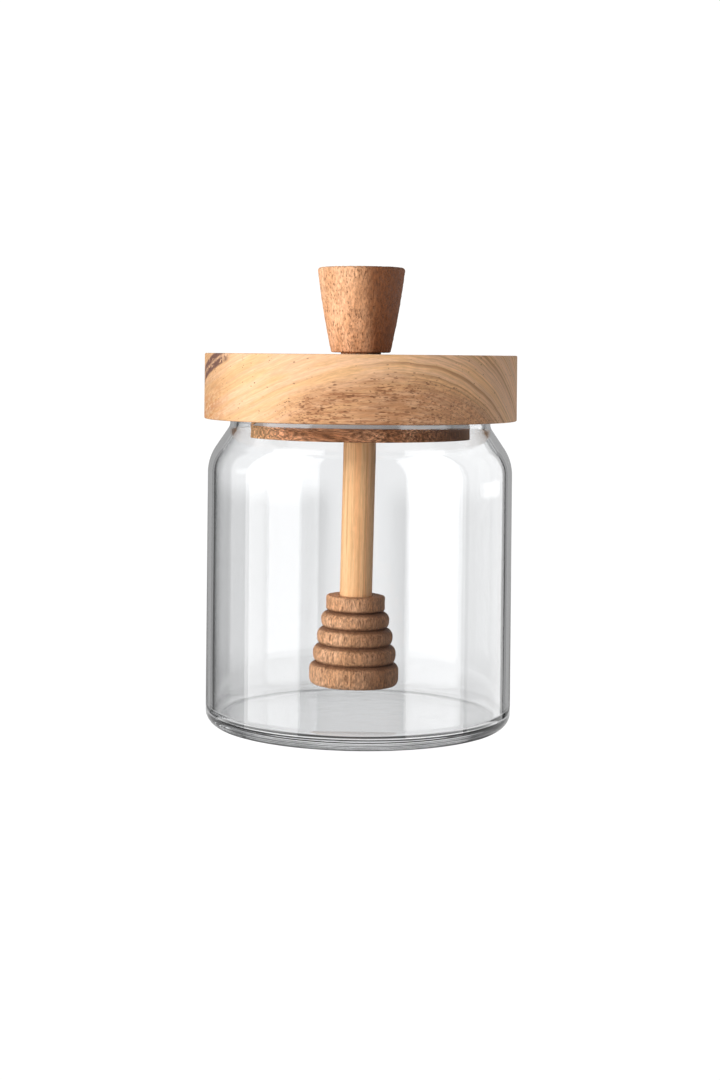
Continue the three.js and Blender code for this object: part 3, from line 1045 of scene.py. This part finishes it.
class HONEYJAR_OT_stage(bpy.types.Operator):
    """Build the white stage, the lights and the camera"""

    bl_idname = "honeyjar.stage"
    bl_label = "Stage"

    def execute(self, context):
        stage = context.scene.honeyjar_stage
        far = stage.through_far
        mirrored = (stage.mirrored_sweep, stage.mirrored_high, stage.mirrored_top)
        looks = (WHITE, (far, far), far, far, mirrored, stage.sweep_light)
        backdrop = white_surface("white backdrop", *looks)
        middle = stage.through_middle
        sides = (stage.through_left, stage.through_right)
        mirrored = (stage.mirrored_floor,) * 3
        looks = (WHITE, sides, middle, far, mirrored, stage.sweep_light)
        floor = white_surface("white floor", *looks)
        self.hide_from_mirrors(floor)
        add_sheet("floor", FLOOR_MIDDLE, FLOOR_SIZE, (0, 0, 0), floor)
        add_sheet("backdrop", BACKDROP_MIDDLE, BACKDROP_SIZE, (math.radians(90), 0, 0), backdrop)
        context.scene.cycles.glossy_bounces = 12
        self.add_lights(stage)
        self.add_room(context.scene, stage)
        self.add_camera(context.scene)
        context.scene.view_settings.view_transform = "Standard"
        return {"FINISHED"}

    def hide_from_mirrors(self, material):
        """Lets mirrored rays pass away from the jar, so that it mirrors the softboxes below the floor too,
        and paints a dark contact shadow round the heel for rays other than the camera's.
        """
        tree = material.node_tree
        surface = tree.nodes["Material Output"].inputs["Surface"]
        glow = surface.links[0].from_socket
        path = add_node(tree, "ShaderNodeLightPath").outputs
        position = add_node(tree, "ShaderNodeNewGeometry").outputs["Position"]
        from_jar = vector_node(tree, "LENGTH", position).outputs["Value"]
        is_far = math_node(tree, "GREATER_THAN", from_jar, FLOOR_MIRRORED)
        passes = times(tree, has_bounced(tree, path, "Glossy"), is_far)
        clear = add_node(tree, "ShaderNodeBsdfTransparent").outputs[0]
        # Painted contact shadow: a dark ring on the floor under the heel, at the front, which rays from the
        # camera don't see
        from_heel = math_node(tree, "ABSOLUTE", math_node(tree, "SUBTRACT", from_jar, HEEL_RADIUS))
        painted_contact_shadow = smooth_range(tree, from_heel, 1.2 * MM, 2.4 * MM, 0.9, 0.0)
        front = smooth_range(tree, part_of(tree, position, "Y"), -24 * MM, -12 * MM, 1.0, 0.0)
        painted_contact_shadow = times(tree, painted_contact_shadow, front)
        not_seen = math_node(tree, "SUBTRACT", 1.0, path["Is Camera Ray"])
        painted_contact_shadow = times(tree, painted_contact_shadow, not_seen)
        dark = add_node(tree, "ShaderNodeBsdfDiffuse", {"Color": (0.02, 0.02, 0.02, 1.0)}).outputs[0]
        glow_with_contact_shadow = mix_shader(tree, painted_contact_shadow, glow, dark)
        tree.links.new(mix_shader(tree, passes, glow_with_contact_shadow, clear), surface)

    def add_lights(self, stage):
        place = Vector((math.sin(KEY_AZIMUTH), -math.cos(KEY_AZIMUTH), KEY_HEIGHT))
        clear_selection()
        bpy.ops.object.light_add(type="AREA", location=place)
        key = bpy.context.object
        key.name = "key light"
        key.rotation_euler = (KEY_AIM - place).to_track_quat("-Z", "Y").to_euler()
        key.data.shape = "RECTANGLE"
        key.data.size = key.data.size_y = KEY_SIZE
        key.data.energy = stage.key_power
        key.visible_camera = False
        key.visible_glossy = False
        key.visible_transmission = False
        add_card("left softbox", -92, -43.5, CARD_LOW, CARD_HIGH, stage.left_softbox)
        add_card("window", 102.5, 128.5, 0.010, 0.0242, stage.window, 0.1, 0.92)
        add_card("right softbox", 34.5, 84, CARD_LOW, CARD_HIGH, stage.right_softbox)
        add_card("right card", 87, 138, CARD_LOW, CARD_HIGH, stage.right_card)

    def add_room(self, scene, stage):
        room = bpy.data.worlds.new("room")
        scene.world = room
        room.use_nodes = True
        tree = room.node_tree
        tree.nodes.clear()
        strength = glow_strength(tree, WHITE, stage.through_left, stage.mirrored_room, stage.room_light)
        glow = add_node(tree, "ShaderNodeBackground", {"Color": (1, 1, 1, 1), "Strength": strength})
        output = add_node(tree, "ShaderNodeOutputWorld")
        room.cycles.sampling_method = "NONE"
        tree.links.new(glow.outputs[0], output.inputs["Surface"])

    def add_camera(self, scene):
        bpy.ops.object.camera_add(location=(0, -FOCAL_PIXELS * PIXEL_SIZE, BOARD_HIGH.z))
        camera = bpy.context.object
        camera.name = "camera"
        camera.rotation_euler = (math.radians(90), CAMERA_ROLL, CAMERA_YAW)
        camera.data.sensor_width = SENSOR
        camera.data.lens = FOCAL_PIXELS / PHOTO_HEIGHT * SENSOR
        axis_to_right = FOCAL_PIXELS * math.tan(CAMERA_YAW)
        camera.data.shift_x = (PHOTO_WIDTH / 2 - AXIS_X + axis_to_right) / PHOTO_HEIGHT
        camera.data.shift_y = (EYE_LEVEL_Y - PHOTO_HEIGHT / 2) / PHOTO_HEIGHT
        camera.data.clip_start = 0.01
        scene.camera = camera


OPERATORS = (
    HONEYJAR_OT_glass,
    HONEYJAR_OT_lid,
    HONEYJAR_OT_ring,
    HONEYJAR_OT_knob,
    HONEYJAR_OT_dipper,
    HONEYJAR_OT_stage,
)


class HONEYJAR_PT_panel(bpy.types.Panel):
    """Lists the jar's operators and their settings"""

    bl_idname = "HONEYJAR_PT_panel"
    bl_label = "Honey jar"
    bl_space_type = "VIEW_3D"
    bl_region_type = "UI"
    bl_category = "Honey jar"

    def draw(self, context):
        scene = context.scene
        for operator in OPERATORS:
            self.layout.operator(operator.bl_idname)
        for settings in (scene.honeyjar_glass, scene.honeyjar_wood, scene.honeyjar_stage):
            box = self.layout.box()
            for name in settings.__annotations__:
                box.prop(settings, name)


SETTINGS = (HoneyJarGlass, HoneyJarWood, HoneyJarStage)
CLASSES = SETTINGS + OPERATORS + (HONEYJAR_PT_panel,)


def register():
    """Registers the classes and hangs the settings on the scene."""
    for each in CLASSES:
        bpy.utils.register_class(each)
    bpy.types.Scene.honeyjar_glass = bpy.props.PointerProperty(type=HoneyJarGlass)
    bpy.types.Scene.honeyjar_wood = bpy.props.PointerProperty(type=HoneyJarWood)
    bpy.types.Scene.honeyjar_stage = bpy.props.PointerProperty(type=HoneyJarStage)


def unregister():
    """Takes the settings and the classes away again."""
    del bpy.types.Scene.honeyjar_stage
    del bpy.types.Scene.honeyjar_wood
    del bpy.types.Scene.honeyjar_glass
    for each in reversed(CLASSES):
        bpy.utils.unregister_class(each)


def main():
    """Builds the whole jar and its stage."""
    register()
    bpy.ops.honeyjar.stage()
    bpy.ops.honeyjar.glass()
    bpy.ops.honeyjar.lid()
    bpy.ops.honeyjar.ring()
    bpy.ops.honeyjar.knob()
    bpy.ops.honeyjar.dipper()


if __name__ == "__main__":
    main()
